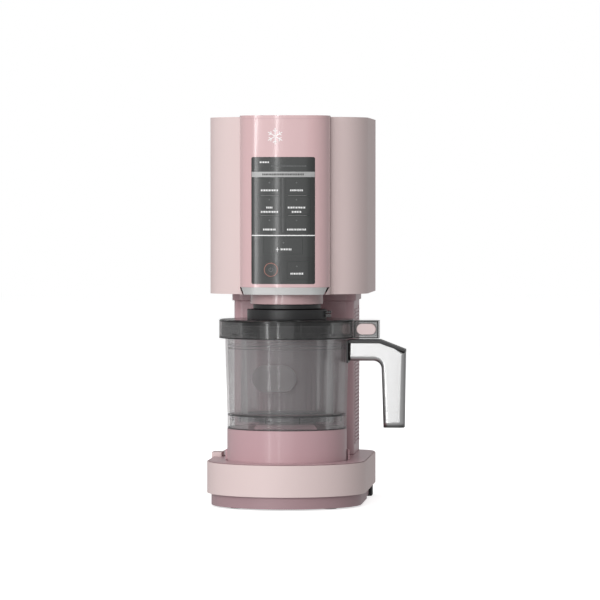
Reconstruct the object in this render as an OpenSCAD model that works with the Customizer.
/* [Base] */
// Half width of the base and of the head
half_w = 82.8; // [80:0.1:90]
// Rear face of the base
rear_y = 186; // [180:0.5:192]
// Centre of the round front of the base
front_cy = -4; // [-8:0.5:0]
// Radius of the rear corners of the base
rear_r = 32; // [24:1:40]
// Underside of the coloured band
band_z0 = 14; // [12:0.5:18]
// Top of the coloured band
band_z1 = 46.5; // [42:0.5:50]
// Inset of the lower skirt from the band
skirt_in = 4.5; // [3:0.5:6]
// Thickness of the moulded walls
wall = 2.5; // [2:0.1:3]

/* [Turntable] */
// Outer radius of the turntable
table_r = 62.2; // [60:0.1:64]
// Top of the turntable when raised
table_z = 80.4; // [78:0.1:84]
// How far the turntable sinks when the bowl is unlocked
lift_drop = 20; // [16:1:22]
// Angle the bowl turns between locked and unlocked
twist = 90; // [80:5:90]

/* [Bowl and lid] */
// Radius of the bowl at its foot
bowl_r0 = 62; // [60:0.1:63]
// Radius of the bowl at its rim
bowl_r1 = 64.2; // [63.5:0.1:66]
// Rim of the bowl
bowl_z1 = 188.5; // [186:0.5:189]
// Outer radius of the pint cup
pint_r = 48.2; // [46:0.1:49]
// Outer radius of the lid
lid_r = 70.5; // [70:0.1:72]
// Underside of the lid's skirt
lid_z0 = 174.6; // [174:0.1:176]
// Top of the lid's rim
lid_z1 = 194.2; // [193:0.1:196]
// Outer radius of the black hub on the lid
hub_r = 41.4; // [40:0.1:43]
// Top of the black hub
hub_z1 = 204.5; // [203:0.1:204.6]
// How far the paddle travels down
stroke = 85; // [76:1:85]

/* [Handle] */
// Outer side of the handle's grip
handle_x1 = 123.8; // [118:0.1:128]
// Lower end of the grip
handle_z0 = 81.9; // [78:0.1:90]
// Half thickness of the handle
handle_t = 13; // [11:0.5:14]

/* [Column] */
// Half width of the column
col_w = 64; // [62:0.5:66]
// Front face of the column
col_y0 = 84; // [82:0.5:86]
// Rear face of the column and the head
col_y1 = 182; // [178:0.5:184]
// Pitch of the louvres
louvre_pitch = 3.8; // [3:0.1:5]

/* [Head] */
// Underside of the head
head_z0 = 220.3; // [218:0.1:224]
// Top of the side panels
head_z1 = 404; // [400:0.5:410]
// Half width of the glossy front
nose_w = 46.7; // [44:0.1:48]
// Radius of the front arc of the glossy front
nose_arc = 140; // [130:1:150]
// Radius of the corners of the glossy front
nose_r = 22; // [18:0.5:24]
// Half width of the display
disp_w = 32.9; // [30:0.1:34]
// Lower edge of the display
disp_z0 = 231.4; // [229:0.1:234]
// Upper edge of the display
disp_z1 = 362.2; // [358:0.1:366]
// Radius of the corners of the display
disp_r = 1.8; // [1:0.1:3]
// Outer radius of the neck ring
neck_r = 37.8; // [36:0.1:39]

/* [Drive] */
// Module of the spindle drive gears
drive_m = 1.5; // [1.5:0.1:1.5]
// Teeth of the spindle gear
spindle_t = 40; // [40:1:40]
// Teeth of the idler gear
idler_t = 60; // [60:1:60]
// Teeth of the motor pinion
pinion_t = 12; // [12:1:12]
// Module of the lift gears
lift_m = 1; // [1:0.1:1]
// Teeth of the lead screw's gear
screw_t = 30; // [30:1:30]
// Teeth of the lift motor's pinion
lift_t = 20; // [20:1:20]
// Radius of the guide rods
rod_r = 4; // [3:0.5:5]

/* [Hidden] */
$fn = 96;

e = 0.01;                           // overshoot of a cut beyond the face it opens
run = 0.05;                         // radial clearance of a running fit
release_x = -84;                    // outer face of the bowl release button
front_y = front_cy - half_w;        // foremost point of the base
mid_x = (release_x + handle_x1) / 2;
mid_y = (front_y + rear_y) / 2;
deck_z = band_z1 + 1;               // top of the deck
plate_z0 = 2;
plate_z1 = 4.5;
narrow_y = 80;                      // behind this line the skirt steps further in
narrow_in = 6.5;
lip_in = 10;                        // width of the band's inner ledge

table_top = 4;                      // thickness of the turntable's top
table_wall = 2.5;
table_z0 = 34;                      // lower edge of the turntable's skirt
post_w = 14;                        // side of the square lift post
post_flange_z = 60;
post_top = 72;
journal_r = 8;
cam_r0 = 52;
cam_r1 = 56;
cam_z1 = 43.5;
roller_z = 38;
roller_r = 3;
slot_h = 6.8;
cam_steps = 12;

boss_z1 = 86;
floor_z = 88.3;                     // floor of the bowl under the cup
ledge_z = 96;                       // ledge around the cup's seat
seat_r = 50.5;

bore_r = 4;                         // pilot of the spindle in the paddle
shaft_r = 8;
paddle_hub_r = 9;
paddle_r = 45;
bushing_r = 14.7;
collar_z0 = 205;
collar_z1 = 210;
clutch_z = 204.9;

box_z0 = 340;                       // gearbox housing on the carriage
box_z1 = 372;
gear_z0 = 346;
gear_z1 = 356;
idler_y = drive_m * (spindle_t + idler_t) / 2;
pinion_y = idler_y + drive_m * (idler_t + pinion_t) / 2;
motor_r = 27;
rod_x = 60;
rod_y0 = 20;
rod_y1 = 130;
bracket_z0 = 386;
bracket_z1 = 389;
lift_gear_z0 = 390;
lift_gear_z1 = 395;
lift_angle = 64;                    // direction from the lead screw to the lift motor
lift_d = lift_m * (screw_t + lift_t) / 2;
lift_x = -rod_x + lift_d * cos(lift_angle);
lift_y = rod_y1 + lift_d * sin(lift_angle);
lift_motor_r = 11;

column_z1 = 211;                    // top of the column, where its collar starts
louvre_y0 = 100;
louvre_y1 = 166;
louvre_z0 = 58;
louvre_z1 = 204;
louvre_h = 2.2;
post_x = 50;                        // distance of the frame posts from the middle
gland_x = 38;
gland_z = 30;

arm_x0 = 64.8;                      // the handle's arm, from the bracket to the grip
arm_z0 = 151.2;
arm_z1 = 169.5;
grip_x0 = 99.2;
grip_taper = 1.9;
bend_r = 8.5;
cap_x = 97.3;                       // where the cap starts to fall towards the grip
cap_z = 173.2;
cap_fall = 9.4;

tab_x0 = 68.5;                      // box on the side of the lid
tab_x1 = 96.2;
tab_y = 12;
tab_z0 = 174.4;
tab_z1 = 193.1;
pill_x0 = 73.7;                     // button in the box
pill_x1 = 93.3;
pill_z0 = 178.7;
pill_z1 = 189.5;

nose_cx = nose_w - nose_r;
nose_front = -50;
nose_arc_y = nose_front + nose_arc;
nose_cy = nose_arc_y - sqrt(pow(nose_arc - nose_r, 2) - nose_cx * nose_cx);
nose_back = -15;
nose_lip = 3.5;                     // height of the cap on top of the glossy front
nose_z1 = 405.1;
trim_z = 228;
trim_w0 = 41.4;                     // half width of the silver trim at its lower and upper edge
trim_w1 = 44.6;
trim_gap = 1.5;
side_front = -20;
side_r = 50;
side_rear_r = 30;

key_gap = 0.15;
key_w = 25;
key_x = 15.5;
key_rows = [[323.4, 340.2], [303.2, 321.4], [285.2, 301.2]];
mix_key = [0, 40, 262.5, 279.5];    // centre x, width, lower and upper edge
respin_key = [15.5, 22, 236.5, 254.5];
power_x = -12.5;
power_z = 246.2;
power_r = 8.6;
board_y = -39;

pink_matt = [0.87, 0.79, 0.77];
pink_gloss = [0.86, 0.69, 0.71];
pink_deep = [0.75, 0.60, 0.62];
smoke = [0.25, 0.25, 0.26, 0.45];
clear = [0.8, 0.8, 0.82, 0.35];
steel = [0.78, 0.78, 0.78];
black = [0.12, 0.12, 0.12];
grey = [0.33, 0.34, 0.34];

// Moves a shape from the bowl's axis to the part's own origin, below the middle of its box
module in_frame() translate([-mid_x, -mid_y, 0]) children();

// D-shaped outline of the base, moved in by i
module base_outline(i = 0) {
    translate([0, front_cy]) circle(half_w - i, $fn = 160);
    translate([-half_w + i, front_cy]) square([2 * (half_w - i), rear_y - rear_r - front_cy]);
    for (s = [-1, 1]) translate([s * (half_w - rear_r), rear_y - rear_r]) circle(rear_r - i);
    translate([-half_w + rear_r, front_cy]) square([2 * (half_w - rear_r), rear_y - i - front_cy]);
}

// Outline of the lower skirt, which is narrower behind narrow_y
module skirt_outline(i = 0) {
    intersection() {
        base_outline(skirt_in + i);
        translate([-100, -100]) square([200, 100 + narrow_y]);
    }
    intersection() {
        base_outline(narrow_in + i);
        translate([-100, 0]) square([200, 200]);
    }
}

// Rectangle with round front and rear corners
module rounded(w, y0, y1, r_front, r_rear) {
    for (s = [-1, 1]) translate([s * (w - r_front), y0 + r_front]) circle(r_front);
    for (s = [-1, 1]) translate([s * (w - r_rear), y1 - r_rear]) circle(r_rear);
    translate([-w + r_front, y0]) square([2 * (w - r_front), r_front]);
    translate([-w, y0 + r_front]) square([2 * w, y1 - r_rear - y0 - r_front]);
    translate([-w + r_rear, y1 - r_rear - e]) square([2 * (w - r_rear), r_rear + e]);
}

// Outline of the head's side panels, moved in by i
module head_outline(i = 0) rounded(half_w - i, side_front + i, col_y1 - i, side_r - i, side_rear_r - i);

// Outline of the glossy front, moved in by i
module nose_outline(i = 0) {
    tangent = nose_cx * nose_arc / (nose_arc - nose_r);
    intersection() {
        for (s = [-1, 1]) translate([s * nose_cx, nose_cy]) circle(nose_r - i);
        translate([-60, -60]) square([120, 60 + nose_back]);
    }
    intersection() {
        translate([0, nose_arc_y]) circle(nose_arc - i, $fn = 360);
        translate([-tangent, nose_front]) square([2 * tangent, nose_back - nose_front]);
    }
    translate([-nose_w + i, nose_cy]) square([2 * (nose_w - i), nose_back - nose_cy]);
}

// A wall that follows the glossy front, between two insets and two heights
module nose_wall(i0, i1, z0, z1) translate([0, 0, z0]) linear_extrude(z1 - z0) difference() {
    nose_outline(i0);
    nose_outline(i1);
    translate([-nose_w + i1, nose_cy]) square([2 * (nose_w - i1), 60]);
}

// Outline of the column, moved in by i
module column_outline(i = 0) rounded(col_w - i, col_y0 + i, col_y1 - i, 10 - i, 10 - i);

module tube(r1, r0, z0, z1) translate([0, 0, z0]) difference() {
    cylinder(r = r1, h = z1 - z0);
    translate([0, 0, -1]) cylinder(r = r0, h = z1 - z0 + 2);
}

module rod(x, y, r, z0, z1) translate([x, y, z0]) cylinder(r = r, h = z1 - z0);

module block(x0, x1, y0, y1, z0, z1) translate([x0, y0, z0]) cube([x1 - x0, y1 - y0, z1 - z0]);

// Spur gear with straight-sided teeth; the first tooth points along phase
module gear(teeth, m, phase, z0, z1) translate([0, 0, z0]) linear_extrude(z1 - z0) {
    rp = m * teeth / 2;
    root = rp - 1.2 * m;
    tip = rp + 0.9 * m;
    pitch = 360 / teeth;
    circle(root);
    for (k = [0 : teeth - 1]) rotate(phase + k * pitch) polygon([
        [root - 0.5 * m, -rp * sin(0.29 * pitch)], [rp, -rp * sin(0.205 * pitch)],
        [tip, -rp * sin(0.11 * pitch)], [tip, rp * sin(0.11 * pitch)],
        [rp, rp * sin(0.205 * pitch)], [root - 0.5 * m, rp * sin(0.29 * pitch)]]);
}

// ---- base ----

screw_places = [[70, 20], [-70, 20], [66, 112], [-66, 112], [42, -57], [-42, -57], [34, 168], [-34, 168]];
front_feet = [[46, -42], [-46, -42]];

module bottom_plate() color(grey) in_frame() difference() {
    union() {
        translate([0, 0, plate_z0]) linear_extrude(plate_z1 - plate_z0) skirt_outline(wall);
        rod(0, 0, 15, plate_z1 - e, 39);
    }
    block(-post_w / 2 - 0.2, post_w / 2 + 0.2, -post_w / 2 - 0.2, post_w / 2 + 0.2, plate_z1, 40);
    for (p = screw_places) rod(p[0], p[1], 2, 0, 6);
}

module base_skirt() color(pink_deep) in_frame() translate([0, 0, plate_z0 - 0.5])
    linear_extrude(band_z0 - plate_z0 + 0.5) difference() {
        skirt_outline(0);
        skirt_outline(wall);
    }

module base_band() color(pink_matt) in_frame() difference() {
    union() {
        translate([0, 0, band_z0]) linear_extrude(band_z1 - band_z0) difference() {
            base_outline(0);
            base_outline(wall);
        }
        translate([0, 0, band_z0]) linear_extrude(2) difference() {
            base_outline(0);
            skirt_outline(lip_in);
        }
        for (p = screw_places) rod(p[0], p[1], 4.5, plate_z1, band_z0 + 8);
    }
    for (p = screw_places) rod(p[0], p[1], 1.9, 0, band_z0 + 6);
    block(-90, -half_w + wall + e, 47.5, 72.5, 44, 60);
    for (s = [-1, 1]) block(s * post_x - 7, s * post_x + 7, 165, 175, 10, 20);
    translate([gland_x, rear_y + 1, gland_z]) rotate([90, 0, 0]) cylinder(r = 6.5, h = 6);
}

module base_deck() color(pink_deep) in_frame() difference() {
    union() {
        difference() {
            tube(table_r + 3, table_r + 0.8, band_z1, deck_z + 10.5);
            block(-80, 80, -80, 5, 40, 70);
        }
        translate([0, 0, band_z1 - 1.5]) linear_extrude(1.5 + e) base_outline(wall + 0.2);
        translate([0, 0, band_z1]) linear_extrude(deck_z - band_z1) base_outline(1.2);
    }
    rod(0, 0, table_r + 0.8, 40, 50);
    block(-50, 50, col_y0 + 8, col_y1 - 6, 40, 50);
    for (s = [-1, 1]) block(s * post_x - 7, s * post_x + 7, 165, 175, 40, 50);
    block(-90, -68.5, 47.5, 72.5, 40, 50);
}

module rubber_feet() color(black) in_frame() {
    for (p = front_feet) rod(p[0], p[1], 9, 0, plate_z0);
    for (s = [0, 1]) mirror([s, 0, 0]) difference() {
        block(56, 79.5, 138, 162, 0, band_z0);
        block(40, half_w - narrow_in, 130, 170, plate_z0 - 0.5, 20);
    }
}

module base_screws() color(steel) in_frame() for (p = screw_places) {
    rod(p[0], p[1], 3.6, 0.8, plate_z0);
    rod(p[0], p[1], 1.85, plate_z0 - e, band_z0 + 4);
}

// Fixed ring with three sloping slots: a roller that turns by twist drops by lift_drop
module cam_ring() color(steel) in_frame() difference() {
    tube(cam_r1, cam_r0, plate_z1, cam_z1);
    slope = atan2(lift_drop, twist * PI / 180 * (cam_r0 + cam_r1) / 2);
    for (k = [0 : 2], i = [0 : cam_steps])
        rotate([0, 0, 30 + 120 * k - i * twist / cam_steps])
            translate([cam_r0 - 2, 0, roller_z - i * lift_drop / cam_steps])
                rotate([slope, 0, 0]) block(0, cam_r1 - cam_r0 + 4, -4.6, 4.6, -slot_h / 2, slot_h / 2);
}

module cord_gland() color(black) in_frame()
    translate([gland_x, rear_y, gland_z]) rotate([90, 0, 0]) difference() {
        union() {
            cylinder(r = 6.4, h = 6);
            translate([0, 0, wall + 0.1]) cylinder(r = 9, h = 3.4);
        }
        translate([0, 0, -1]) cylinder(r = 3.5, h = 9);
    }

// ---- column ----

module column_shell() color(pink_deep) in_frame() difference() {
    translate([0, 0, deck_z]) linear_extrude(column_z1 - deck_z) difference() {
        column_outline(0);
        column_outline(wall);
        translate([-80, col_y1 - wall - 8]) square([160, 20]);
    }
    for (s = [-1, 1]) block(s * col_w - 8, s * col_w + 8, louvre_y0, louvre_y1, louvre_z0, louvre_z1);
}

module column_louvres() color(pink_deep) in_frame() for (s = [0, 1]) mirror([s, 0, 0]) {
    for (z = [louvre_z0 + 0.6 : louvre_pitch : louvre_z1 - louvre_h])
        block(col_w - wall, col_w + 0.6, louvre_y0, louvre_y1, z, z + louvre_h);
    for (y = [louvre_y0, 131, louvre_y1 - 3])
        block(col_w - wall - 1.4, col_w - wall + 0.4, y, y + 3, louvre_z0, louvre_z1);
}

module column_back() color(pink_deep) in_frame() difference() {
    translate([0, 0, deck_z]) linear_extrude(column_z1 - deck_z) intersection() {
        difference() {
            column_outline(0);
            column_outline(wall);
        }
        translate([-80, col_y1 - wall - 8]) square([160, 20]);
    }
    for (z = [70 : 8 : 190]) block(-34, 34, col_y1 - wall - 1, col_y1 + 1, z, z + 3);
}

module column_collar() color(pink_deep) in_frame()
    translate([0, 0, column_z1]) linear_extrude(head_z0 - column_z1) difference() {
        rounded(col_w + 2.2, col_y0 - 2, col_y1, 12, 12);
        column_outline(wall);
    }

module frame_posts() color(steel) in_frame() for (s = [-1, 1])
    block(s * post_x - 6, s * post_x + 6, 166, 174, plate_z1, bracket_z0);

// ---- head ----

module head_side() {
    difference() {
        translate([0, 0, head_z0]) linear_extrude(head_z1 - head_z0) difference() {
            head_outline(0);
            head_outline(wall);
        }
        block(-100, nose_w + 0.1, -60, 200, 200, 420);
    }
    // Pointed lip that carries the panel on below the corner of the glossy front
    intersection() {
        union() {
            nose_wall(0, wall, head_z0, trim_z);
            block(nose_w - wall, nose_w + 3, side_front + 2.2, side_front + 4.6, head_z0, trim_z);
        }
        translate([0, 10, 0]) rotate([90, 0, 0]) linear_extrude(80) polygon([
            [nose_w + 3, head_z0], [trim_w0 + trim_gap, head_z0], [nose_w - 0.3, trim_z - 0.1],
            [nose_w + 3, trim_z - 0.1]]);
    }
}

module head_right() color(pink_matt) in_frame() head_side();

module head_left() color(pink_matt) in_frame() mirror([1, 0, 0]) head_side();

module head_front() color(pink_gloss) in_frame() difference() {
    nose_wall(0, wall, trim_z, nose_z1 - nose_lip);
    window(0);
}

module trim_strip() color(steel) in_frame() intersection() {
    nose_wall(0.5, wall, head_z0 + 0.1, trim_z);
    translate([0, 10, 0]) rotate([90, 0, 0]) linear_extrude(80) polygon([
        [-trim_w1, trim_z], [trim_w1, trim_z], [trim_w0, head_z0], [-trim_w0, head_z0]]);
}

module head_top() color(pink_gloss) in_frame() {
    translate([0, 0, nose_z1 - nose_lip]) linear_extrude(nose_lip) nose_outline(0);
    translate([0, 0, head_z1 - wall]) linear_extrude(wall) difference() {
        head_outline(wall + 0.1);
        translate([-nose_w, -60]) square([2 * nose_w, 60 + nose_back]);
    }
}

module head_back() color(pink_matt) in_frame() difference() {
    translate([0, 0, head_z0]) linear_extrude(head_z1 - head_z0) intersection() {
        difference() {
            head_outline(0);
            head_outline(wall);
        }
        translate([-nose_w, 100]) square([2 * nose_w, 100]);
    }
    for (z = [300 : 7 : 370]) block(-30, 30, col_y1 - wall - 1, col_y1 + 1, z, z + 3);
}

module head_bottom() color(pink_deep) in_frame() difference() {
    translate([0, 0, head_z0]) linear_extrude(3) difference() {
        union() {
            head_outline(wall + 0.1);
            nose_outline(wall + 0.1);
        }
        translate([0, pinion_y]) circle(motor_r + 3);
        circle(shaft_r + 1.5);
        for (s = [-1, 1]) translate([s * post_x - 6.2, 165.8]) square([12.4, 8.4]);
    }
}

module neck_ring() color(pink_gloss) in_frame() tube(neck_r, 33, collar_z1, head_z0);

module splash_collar() color(black) in_frame() difference() {
    rod(0, 0, 35.2, collar_z0, collar_z1);
    rod(0, 0, 32, collar_z0 + 2, collar_z1 + 1);
    rod(0, 0, shaft_r + 1.5, collar_z0 - 1, collar_z1);
}

// ---- control panel ----

module key_cut(x, w, z0, z1, g) block(x - w / 2 - g, x + w / 2 + g, -60, -30, z0 - g, z1 + g);

module power_cut(g) translate([power_x, -60, power_z]) rotate([-90, 0, 0]) cylinder(r = power_r + g, h = 30);

// Opening of the display with round corners, moved in by g
module window(g) translate([0, -30, 0]) rotate([90, 0, 0]) linear_extrude(30) {
    w = disp_w - g;
    for (x = [-1, 1], z = [disp_z0 + g + disp_r, disp_z1 - g - disp_r])
        translate([x * (w - disp_r), z]) circle(disp_r);
    translate([-w + disp_r, disp_z0 + g]) square([2 * (w - disp_r), disp_z1 - disp_z0 - 2 * g]);
    translate([-w, disp_z0 + g + disp_r]) square([2 * w, disp_z1 - disp_z0 - 2 * (g + disp_r)]);
}

module display_lens() color(grey) in_frame() difference() {
    intersection() {
        nose_wall(0.2, wall, disp_z0 + 0.1, disp_z1 - 0.1);
        window(0.1);
    }
    for (r = key_rows, s = [-1, 1]) key_cut(s * key_x, key_w, r[0], r[1], key_gap);
    key_cut(mix_key[0], mix_key[1], mix_key[2], mix_key[3], key_gap);
    key_cut(respin_key[0], respin_key[1], respin_key[2], respin_key[3], key_gap);
    power_cut(key_gap);
}

module key_stem(x, z) translate([x, board_y - 2, z]) rotate([90, 0, 0]) cylinder(r = 1.6, h = 6.5);

module key(x, w, z0, z1) color(grey) in_frame() {
    intersection() {
        nose_wall(0.2, wall, z0, z1);
        block(x - w / 2, x + w / 2, -60, -30, z0, z1);
    }
    key_stem(x, (z0 + z1) / 2);
}

module key_program_1() key(-key_x, key_w, key_rows[0][0], key_rows[0][1]);

module key_program_2() key(key_x, key_w, key_rows[0][0], key_rows[0][1]);

module key_program_3() key(-key_x, key_w, key_rows[1][0], key_rows[1][1]);

module key_program_4() key(key_x, key_w, key_rows[1][0], key_rows[1][1]);

module key_program_5() key(-key_x, key_w, key_rows[2][0], key_rows[2][1]);

module key_program_6() key(key_x, key_w, key_rows[2][0], key_rows[2][1]);

module key_mix_in() key(mix_key[0], mix_key[1], mix_key[2], mix_key[3]);

module key_respin() key(respin_key[0], respin_key[1], respin_key[2], respin_key[3]);

module key_power() color(grey) in_frame() {
    intersection() {
        nose_wall(0.2, wall, power_z - 10, power_z + 10);
        power_cut(0);
    }
    key_stem(power_x, power_z);
}

module control_board() color([0.1, 0.35, 0.2]) in_frame() {
    block(-31, 31, board_y, board_y + 1.6, disp_z0 + 3, disp_z1 - 3);
    for (r = key_rows, s = [-1, 1]) key_dome(s * key_x, (r[0] + r[1]) / 2);
    key_dome(mix_key[0], (mix_key[2] + mix_key[3]) / 2);
    key_dome(respin_key[0], (respin_key[2] + respin_key[3]) / 2);
    key_dome(power_x, power_z);
}

module key_dome(x, z) translate([x, board_y + e, z]) rotate([90, 0, 0]) cylinder(r = 2.6, h = 1);

module main_board() color([0.1, 0.35, 0.2]) in_frame() {
    block(-36, 36, 172, 173.6, 240, 340);
    block(-28, -8, 166, 172 + e, 250, 270);
    block(4, 14, 166, 172 + e, 252, 262);
    block(-26, 20, 168, 172 + e, 290, 330);
}

// ---- lift of the bowl ----

module lift_post() color(steel) in_frame() {
    block(-post_w / 2, post_w / 2, -post_w / 2, post_w / 2, 30, post_flange_z + e);
    rod(0, 0, 13, post_flange_z, post_flange_z + 3.4);
    rod(0, 0, journal_r, post_flange_z + 3, post_top);
}

module turntable() color(pink_deep) in_frame() difference() {
    union() {
        tube(table_r, table_r - table_wall, table_z0, table_z - e);
        rod(0, 0, table_r - 1, table_z - table_top, table_z);
        rod(0, 0, table_r - 0.4, table_z - 1, table_z);
        rod(0, 0, 14, post_flange_z + 3.7, table_z - 1);
        translate([0, 0, table_z - e]) intersection() {
            linear_extrude(boss_z1 - table_z) square([66, 40], center = true);
            translate([0, 30, 0]) rotate([90, 0, 0]) linear_extrude(60) polygon([
                [-33, 0], [33, 0], [29, boss_z1 - table_z], [-29, boss_z1 - table_z]]);
        }
    }
    rod(0, 0, journal_r + run, 50, post_top + 0.5);
}

module cam_rollers() color(steel) in_frame() for (k = [0 : 2])
    rotate([0, 0, 30 + 120 * k]) translate([cam_r0 - 1, 0, roller_z]) rotate([0, 90, 0])
        cylinder(r = roller_r, h = table_r - table_wall - cam_r0 + 0.95);

// ---- bowl ----

module outer_bowl() color(smoke) in_frame() {
    rotate_extrude($fn = 160) polygon([
        [bowl_r0, table_z + 0.4], [bowl_r0 + 0.1, 95], [bowl_r1, 172], [bowl_r1, bowl_z1],
        [bowl_r1 - 2.4, bowl_z1], [bowl_r1 - 2.4, 172], [bowl_r0 - 2.3, ledge_z + 1.5],
        [bowl_r0 - 3.8, ledge_z], [seat_r, ledge_z], [seat_r, floor_z], [0, floor_z],
        [0, floor_z - 2], [seat_r + 2, floor_z - 2], [seat_r + 2, ledge_z - 2],
        [bowl_r0 - 2.4, ledge_z - 2], [bowl_r0 - 2.4, table_z + 0.4]]);
    lugs(bowl_r1 - 0.5, bowl_r1 + 2.2, 181, 184);
}

// Four short lugs of a twist lock
module lugs(r0, r1, z0, z1) for (a = [45 : 90 : 315]) intersection() {
    tube(r1, r0, z0, z1);
    rotate([0, 0, a]) translate([r0 - 5, -8, z0]) cube([r1 - r0 + 10, 16, z1 - z0]);
}

module pint_cup() color(clear) in_frame() difference() {
    rotate_extrude($fn = 160) polygon([
        [0, floor_z + 0.3], [pint_r - 1.5, floor_z + 0.3], [pint_r, floor_z + 1.8], [pint_r, 184],
        [pint_r + 2, 185], [pint_r + 2, 188], [pint_r - 1.7, 188], [pint_r - 1.7, floor_z + 4],
        [pint_r - 3.5, floor_z + 2.3], [0, floor_z + 2.3]]);
    for (a = [0 : 30 : 330])
        rotate([0, 0, a]) block(pint_r - 1, pint_r + 5, -4, 4, floor_z - 1, floor_z + 4.5);
}

// ---- handle, in the plane of x and z ----

module side_on(t) translate([0, t, 0]) rotate([90, 0, 0]) linear_extrude(2 * t) children();

module handle_grip() color(steel) in_frame() side_on(handle_t) {
    polygon([[arm_x0, arm_z0], [grip_x0, arm_z0], [grip_x0 + grip_taper, handle_z0],
        [handle_x1 - 1.1, handle_z0], [handle_x1, arm_z1 - cap_fall], [cap_x, arm_z1], [arm_x0, arm_z1]]);
    difference() {
        translate([grip_x0 - bend_r, arm_z0 - bend_r]) square(bend_r + 0.2);
        translate([grip_x0 - bend_r, arm_z0 - bend_r]) circle(bend_r);
    }
}

module handle_cap() color(black) in_frame() side_on(handle_t + 0.5) polygon([
    [arm_x0, arm_z1 + e], [cap_x, arm_z1 + e], [handle_x1, arm_z1 - cap_fall + e],
    [handle_x1, cap_z - cap_fall - 0.9], [cap_x, cap_z], [arm_x0, cap_z]]);

module handle_bracket() color(black) in_frame() difference() {
    block(58, arm_x0 - e, -handle_t - 0.5, handle_t + 0.5, arm_z0 - 2.3, cap_z - 1);
    translate([0, 0, 140]) cylinder(r = bowl_r1 + 0.02, h = 40, $fn = 720);
}

// ---- lid ----

// Pill-shaped bar along y, grown by g
module pill(g, y0, y1) {
    r = (pill_z1 - pill_z0) / 2;
    translate([0, y1, 0]) rotate([90, 0, 0]) linear_extrude(y1 - y0) {
        for (x = [pill_x0 + r, pill_x1 - r]) translate([x, pill_z0 + r]) circle(r + g);
        translate([pill_x0 + r, pill_z0 - g]) square([pill_x1 - pill_x0 - 2 * r, 2 * (r + g)]);
    }
}

module lid() color(smoke) in_frame() difference() {
    union() {
        difference() {
            rotate_extrude($fn = 160) polygon([
                [lid_r, lid_z0], [lid_r, lid_z1 - 1.2], [lid_r - 1.2, lid_z1], [bushing_r + 0.6, lid_z1],
                [bushing_r + 0.6, lid_z1 - wall], [lid_r - wall, lid_z1 - wall], [lid_r - wall, lid_z0]]);
        }
        lugs(bowl_r1 + 0.6, lid_r - wall + 0.5, 177, 180.4);
        difference() {
            block(tab_x0, tab_x1, -tab_y, tab_y, tab_z0, tab_z1);
            block(lid_r - 1, tab_x1 - 2, -tab_y + 2, tab_y - 2, tab_z0 + 2, tab_z1 - 2);
            rod(0, 0, lid_r - wall, 170, 200);
        }
    }
    pill(0.3, -tab_y - 1, -tab_y + 4);
}

module lid_button() color(pink_matt) in_frame() {
    pill(0, -tab_y - 0.8, -tab_y + 2.4);
    pill(0.6, -tab_y + 2.3, -tab_y + 4);
}

module lid_seal() color(black) in_frame() tube(bowl_r1 + 1, bowl_r1 - 4, bowl_z1 + 0.3, lid_z1 - wall);

module lid_hub() color(black) in_frame() difference() {
    union() {
        tube(hub_r, hub_r - 3, lid_z1, hub_z1);
        tube(hub_r - 1, bushing_r + 0.3, hub_z1 - 3, hub_z1);
    }
    block(30, 50, -7.3, 7.3, 195.7, 200);
}

module paddle_latch() color(smoke) in_frame() {
    block(30, 46.5, -7, 7, 196, 199.7);
    block(18.5, 30 + e, -4, 4, 196, 199.7);
}

module hub_bushing() color(black) in_frame() tube(bushing_r, paddle_hub_r + run, 190, hub_z1 - 0.3);

module paddle() color(steel) in_frame() difference() {
    union() {
        rod(0, 0, paddle_hub_r, 178, clutch_z - 0.6);
        for (a = [0, 180]) rotate([0, 0, a]) {
            translate([4, 0, 182]) rotate([28, 0, 0]) translate([0, -6, -1.2]) cube([paddle_r - 6, 12, 2.4]);
            rotate([0, 0, 90]) translate([4, 0, 180.5]) rotate([-40, 0, 0])
                translate([0, -4, -1]) cube([paddle_r - 16, 8, 2]);
        }
        difference() {
            tube(paddle_r, paddle_r - 2.2, 179.5, 184.5);
            for (s = [-1, 1]) block(-60, 60, s * 38 - 30, s * 38 + 30, 170, 190);
        }
    }
    rod(0, 0, bore_r + run, 186, 210);
}

// ---- drive carriage in the head ----

module gearbox_outline(i) {
    circle(34.5 - i);
    translate([0, idler_y]) circle(49 - i);
    translate([0, pinion_y]) circle(30 - i);
    translate([-34.5 + i, 0]) square([69 - 2 * i, idler_y]);
    translate([-30 + i, idler_y]) square([60 - 2 * i, pinion_y - idler_y]);
}

module gearbox_housing() color([0.3, 0.3, 0.32]) in_frame() difference() {
    union() {
        difference() {
            union() {
                translate([0, 0, box_z0]) linear_extrude(box_z1 - box_z0) gearbox_outline(0);
                for (s = [-1, 1], y = [rod_y0, rod_y1]) {
                    block(min(s * 20, s * rod_x), max(s * 20, s * rod_x), y - 6, y + 6, box_z0, box_z0 + 14);
                    rod(s * rod_x, y, 9, box_z0, box_z0 + 20);
                }
            }
            translate([0, 0, box_z0 + wall]) linear_extrude(box_z1 - box_z0) gearbox_outline(wall);
        }
        rod(0, idler_y, 4, box_z0 + wall - e, gear_z1 + 3);
    }
    rod(0, 0, shaft_r + run, box_z0 - 1, box_z0 + 6);
    rod(0, pinion_y, 5.2, box_z0 - 1, box_z0 + 6);
    for (s = [-1, 1]) rod(s * rod_x, rod_y0, rod_r + run, box_z0 - 1, box_z1);
    rod(rod_x, rod_y1, rod_r + run, box_z0 - 1, box_z1);
    rod(-rod_x, rod_y1, 5 + run, box_z0 - 1, box_z1);
}

module drive_motor() color(steel) in_frame() translate([0, pinion_y, 0]) tube(motor_r, 4.5, 255, box_z0);

module spindle() color(steel) in_frame() {
    rod(0, 0, bore_r, 187, 206);
    rod(0, 0, shaft_r, 205.6, gear_z1 + 6);
    for (a = [0, 120, 240]) rotate([0, 0, a]) block(4.5, 7, -1.5, 1.5, clutch_z, 206);
    gear(spindle_t, drive_m, 90, gear_z0, gear_z1);
}

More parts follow.
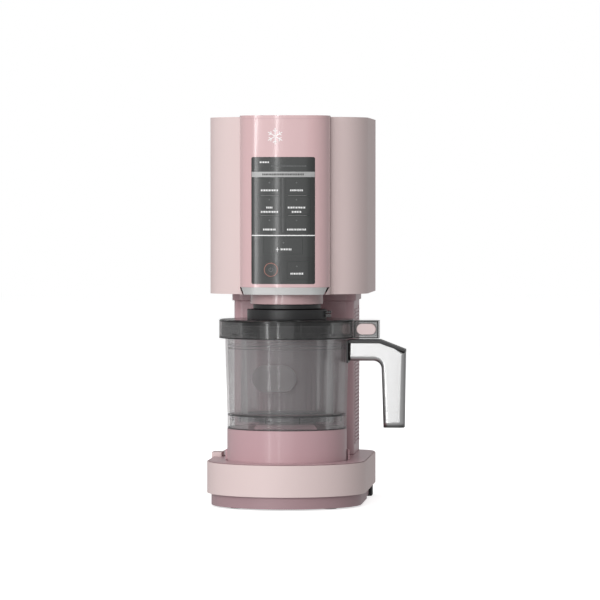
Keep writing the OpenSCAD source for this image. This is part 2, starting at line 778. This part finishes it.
module idler_gear() color(steel) in_frame() translate([0, idler_y, 0]) difference() {
    gear(idler_t, drive_m, 270 + 180 / idler_t, gear_z0, gear_z1);
    rod(0, 0, 4 + run, gear_z0 - 1, gear_z1 + 1);
}

module motor_pinion() color(steel) in_frame() translate([0, pinion_y, 0]) {
    gear(pinion_t, drive_m, 270, gear_z0, gear_z1);
    rod(0, 0, 4, 262, gear_z1 + 2);
}

module guide_rods() color(steel) in_frame() {
    for (s = [-1, 1]) rod(s * rod_x, rod_y0, rod_r, head_z0 + 3, bracket_z0);
    rod(rod_x, rod_y1, rod_r, head_z0 + 3, bracket_z0);
}

module upper_bracket() color(steel) in_frame() difference() {
    translate([0, 0, bracket_z0]) linear_extrude(bracket_z1 - bracket_z0) intersection() {
        head_outline(wall + 1);
        translate([-72, 8]) square([144, 168]);
    }
    block(-30, 30, 20, 150, 380, 395);
    rod(-rod_x, rod_y1, 5.4, 380, 395);
    rod(lift_x, lift_y, 3.6, 380, 395);
}

module lift_motor() color(steel) in_frame()
    translate([lift_x, lift_y, 0]) tube(lift_motor_r, 3.4, 348, bracket_z0);

module lead_screw() color(steel) in_frame() translate([-rod_x, rod_y1, 0]) {
    rod(0, 0, 5, head_z0 + 3.3, lift_gear_z1 + 1);
    gear(screw_t, lift_m, lift_angle, lift_gear_z0, lift_gear_z1);
}

module lift_pinion() color(steel) in_frame() translate([lift_x, lift_y, 0]) {
    rod(0, 0, 3, 352, lift_gear_z1 + 1);
    gear(lift_t, lift_m, lift_angle + 180 + 180 / lift_t, lift_gear_z0, lift_gear_z1);
}

// ---- bowl release ----

module bowl_release() color(pink_matt) in_frame() {
    block(release_x, -73, 48, 72, 44.8, 52);
    block(-79.5, -76, 54, 66, 30, 45);
    block(-76.1, -64.5, 58, 62, 30, 36);
}

bottom_plate();
base_skirt();
base_band();
base_deck();
rubber_feet();
base_screws();
cam_ring();
column_shell();
column_louvres();
column_back();
column_collar();
frame_posts();
head_left();
head_right();
head_front();
head_top();
head_back();
head_bottom();
trim_strip();
neck_ring();
splash_collar();
display_lens();
control_board();
main_board();
guide_rods();
upper_bracket();
lift_motor();
cord_gland();
lift_post();
turntable();
cam_rollers();
outer_bowl();
handle_bracket();
handle_grip();
handle_cap();
pint_cup();
lid();
lid_hub();
lid_seal();
lid_button();
paddle_latch();
hub_bushing();
paddle();
gearbox_housing();
drive_motor();
spindle();
idler_gear();
motor_pinion();
lead_screw();
lift_pinion();
bowl_release();
key_power();
key_respin();
key_mix_in();
key_program_1();
key_program_2();
key_program_3();
key_program_4();
key_program_5();
key_program_6();
